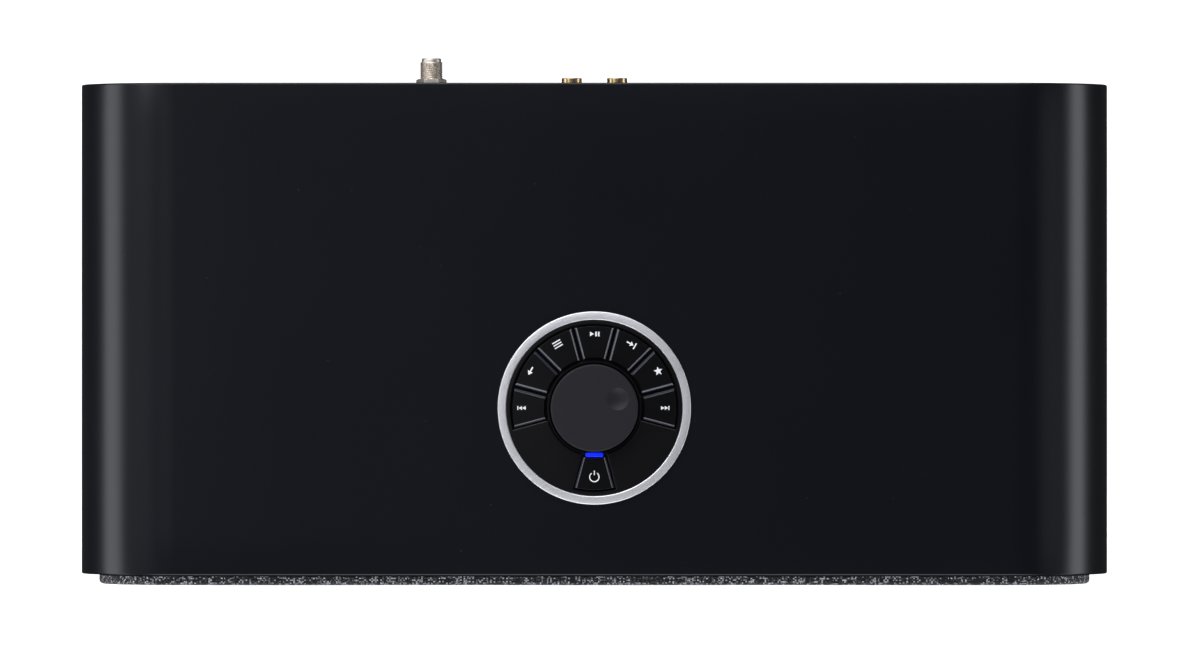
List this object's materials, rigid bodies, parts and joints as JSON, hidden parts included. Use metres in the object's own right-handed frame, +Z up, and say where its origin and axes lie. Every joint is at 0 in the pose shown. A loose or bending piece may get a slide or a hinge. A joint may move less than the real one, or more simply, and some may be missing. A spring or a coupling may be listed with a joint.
{
  "type": "compact music system",
  "caption": "One-box music system: rounded black cabinet, cloth grille with disc slot and display, round control dial on top, aerial and phono sockets behind.",
  "frame": {"origin": "middle of the object's box, on the surface that the feet stand on", "axes": "+X to the right seen from the front, +Y to the back, +Z up"},
  "size_m": [0.42, 0.217, 0.179],
  "materials": {
    "lacquer": "satin black lacquer on bent board",
    "board": "bare fibreboard",
    "rear_black": "matt black paint",
    "rubber": "soft matt rubber",
    "dark_screw": "black zinc",
    "frame_plastic": "moulded black",
    "grille_cloth": "black, grey and white melange weave",
    "wire": "soft insulation",
    "fascia_gloss": "polished black",
    "lens": "smoked window",
    "display": "dark display module",
    "felt": "short felt",
    "plated_steel": "zinc plated sheet",
    "black_plastic": "moulded black",
    "blasted_aluminium": "fine blasted, clear anodised",
    "dial_plastic": "satin moulded",
    "key_plastic": "satin moulded",
    "silicone": "translucent grey silicone",
    "circuit": "solder mask on glass fibre board",
    "blue_light": "lit light guide",
    "knob_soft": "soft-touch lacquer",
    "basket_steel": "black powder coat",
    "magnet": "ferrite with plated plates",
    "spider": "resin cloth",
    "paper": "coated paper",
    "copper": "enamelled winding",
    "nickel": "nickel plated",
    "gold": "gold plated sleeves on a black block"
  },
  "bodies": {
    "root": {"cabinet_sleeve": "lacquer", "front_baffle": "board", "rear_panel": "rear_black", "rear_battens": "board", "chamber_walls": "board", "rubber_feet": "rubber", "foot_screws": "dark_screw", "rear_panel_screws": "dark_screw", "grille_frame": "frame_plastic", "grille_fabric": "grille_cloth", "speaker_wires": "wire", "front_fascia": "fascia_gloss", "display_lens": "lens", "display_module": "display", "slot_felt": "felt", "drive_base": "plated_steel", "drive_cover": "plated_steel", "spindle_motor": "plated_steel", "sled_rails": "plated_steel", "trim_ring": "blasted_aluminium", "dial_housing": "dial_plastic", "keypad_mat": "silicone", "dial_board": "circuit", "dial_ring_nut": "black_plastic", "power_light": "blue_light", "encoder_body": "plated_steel", "driver_baskets": "basket_steel", "driver_magnets": "magnet", "driver_surrounds": "rubber", "driver_spiders": "spider", "driver_screws": "dark_screw", "reflex_ports": "black_plastic", "socket_plate": "rear_black", "antenna_socket": "nickel", "antenna_nut": "nickel", "line_sockets": "gold", "mains_inlet": "black_plastic", "digital_sockets": "black_plastic", "main_board": "circuit", "power_board": "circuit"},
    "plunger": {"encoder_plunger": "black_plastic"},
    "knob": {"encoder_shaft": "plated_steel", "dial_knob": "knob_soft"},
    "left_driver_cone": {"left_cone": "paper", "left_dust_cap": "paper", "left_voice_coil": "copper"},
    "right_driver_cone": {"right_cone": "paper", "right_dust_cap": "paper", "right_voice_coil": "copper"},
    "disc_turntable": {"turntable": "black_plastic"},
    "roller": {"feed_roller": "rubber"},
    "sled": {"laser_sled": "black_plastic"},
    "skip_forward_key": {"skip_forward_key": "key_plastic"},
    "preset_key": {"preset_key": "key_plastic"},
    "source_key": {"source_key": "key_plastic"},
    "play_key": {"play_key": "key_plastic"},
    "menu_key": {"menu_key": "key_plastic"},
    "back_key": {"back_key": "key_plastic"},
    "skip_back_key": {"skip_back_key": "key_plastic"},
    "power_key": {"power_key": "key_plastic"}
  },
  "joints": [
    {"name": "knob_press", "type": "slide", "parent": "root", "child": "plunger", "axis": [0, 0, -1], "range_m": [0, 0.0005], "stiffness_N_per_m": 1200, "springref_m": -0.0008},
    {"name": "knob_turn", "type": "hinge", "parent": "plunger", "child": "knob", "pos_m": [0, -0.03635, 0.172], "axis": [0, 0, 1], "continuous": true},
    {"name": "disc_spin", "type": "hinge", "parent": "root", "child": "disc_turntable", "pos_m": [0, -0.01635, 0.068], "axis": [0, 0, 1], "continuous": true},
    {"name": "roller_spin", "type": "hinge", "parent": "root", "child": "roller", "pos_m": [0, -0.08035, 0.0687], "axis": [1, 0, 0], "continuous": true},
    {"name": "sled_slide", "type": "slide", "parent": "root", "child": "sled", "axis": [0, 1, 0], "range_m": [0, 0.034]},
    {"name": "left_cone_travel", "type": "slide", "parent": "root", "child": "left_driver_cone", "axis": [0, -1, 0], "range_m": [-0.0025, 0.0025], "stiffness_N_per_m": 1500, "deforming": ["driver_surrounds", "driver_spiders"]},
    {"name": "right_cone_travel", "type": "slide", "parent": "root", "child": "right_driver_cone", "axis": [0, -1, 0], "range_m": [-0.0025, 0.0025], "stiffness_N_per_m": 1500, "deforming": ["driver_surrounds", "driver_spiders"]},
    {"name": "skip_forward_press", "type": "slide", "parent": "root", "child": "skip_forward_key", "axis": [0, 0, -1], "range_m": [0, 0.0007], "stiffness_N_per_m": 400, "springref_m": -0.0006, "deforming": ["keypad_mat"]},
    {"name": "preset_press", "type": "slide", "parent": "root", "child": "preset_key", "axis": [0, 0, -1], "range_m": [0, 0.0007], "stiffness_N_per_m": 400, "springref_m": -0.0006, "deforming": ["keypad_mat"]},
    {"name": "source_press", "type": "slide", "parent": "root", "child": "source_key", "axis": [0, 0, -1], "range_m": [0, 0.0007], "stiffness_N_per_m": 400, "springref_m": -0.0006, "deforming": ["keypad_mat"]},
    {"name": "play_press", "type": "slide", "parent": "root", "child": "play_key", "axis": [0, 0, -1], "range_m": [0, 0.0007], "stiffness_N_per_m": 400, "springref_m": -0.0006, "deforming": ["keypad_mat"]},
    {"name": "menu_press", "type": "slide", "parent": "root", "child": "menu_key", "axis": [0, 0, -1], "range_m": [0, 0.0007], "stiffness_N_per_m": 400, "springref_m": -0.0006, "deforming": ["keypad_mat"]},
    {"name": "back_press", "type": "slide", "parent": "root", "child": "back_key", "axis": [0, 0, -1], "range_m": [0, 0.0007], "stiffness_N_per_m": 400, "springref_m": -0.0006, "deforming": ["keypad_mat"]},
    {"name": "skip_back_press", "type": "slide", "parent": "root", "child": "skip_back_key", "axis": [0, 0, -1], "range_m": [0, 0.0007], "stiffness_N_per_m": 400, "springref_m": -0.0006, "deforming": ["keypad_mat"]},
    {"name": "power_press", "type": "slide", "parent": "root", "child": "power_key", "axis": [0, 0, -1], "range_m": [0, 0.0007], "stiffness_N_per_m": 400, "springref_m": -0.0006, "deforming": ["keypad_mat"]}
  ]
}
